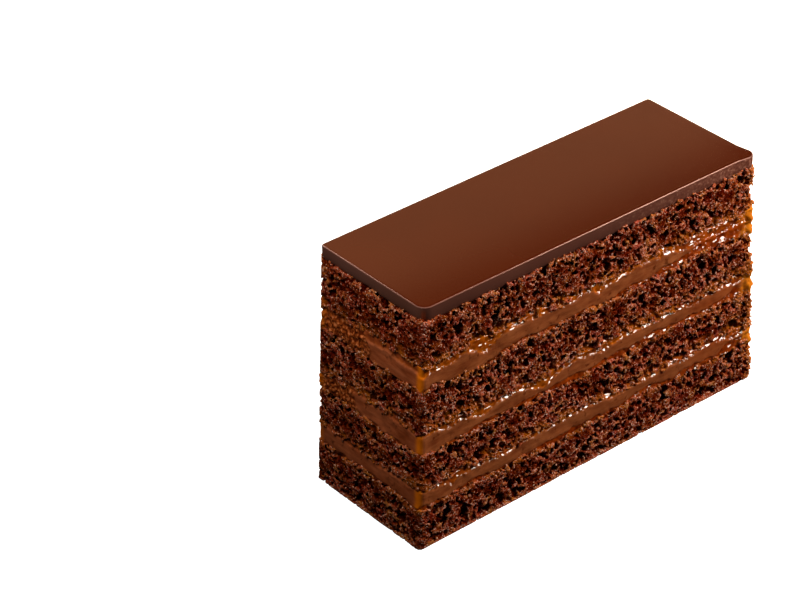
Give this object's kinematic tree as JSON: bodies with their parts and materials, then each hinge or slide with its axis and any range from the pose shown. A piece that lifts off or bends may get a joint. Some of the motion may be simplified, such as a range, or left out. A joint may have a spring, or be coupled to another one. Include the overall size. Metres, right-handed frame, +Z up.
{
  "type": "sacher torte slice",
  "caption": "Rectangular slice of layered chocolate sponge cake with apricot jam between the layers and a smooth poured chocolate glaze on top.",
  "frame": {"origin": "middle of the flat base that the slice stands on", "axes": "+X along the slice's long sides, +Y across it, +Z up through the layers to the glaze"},
  "size_m": [0.1049, 0.0366, 0.063],
  "materials": {
    "sponge": "matte open crumb",
    "jam": "wet gloss",
    "glaze": "satin chocolate"
  },
  "bodies": {
    "root": {"sponge_1": "sponge", "sponge_2": "sponge", "sponge_3": "sponge", "sponge_4": "sponge", "jam_1": "jam", "jam_2": "jam", "jam_3": "jam", "glaze": "glaze"}
  },
  "joints": []
}
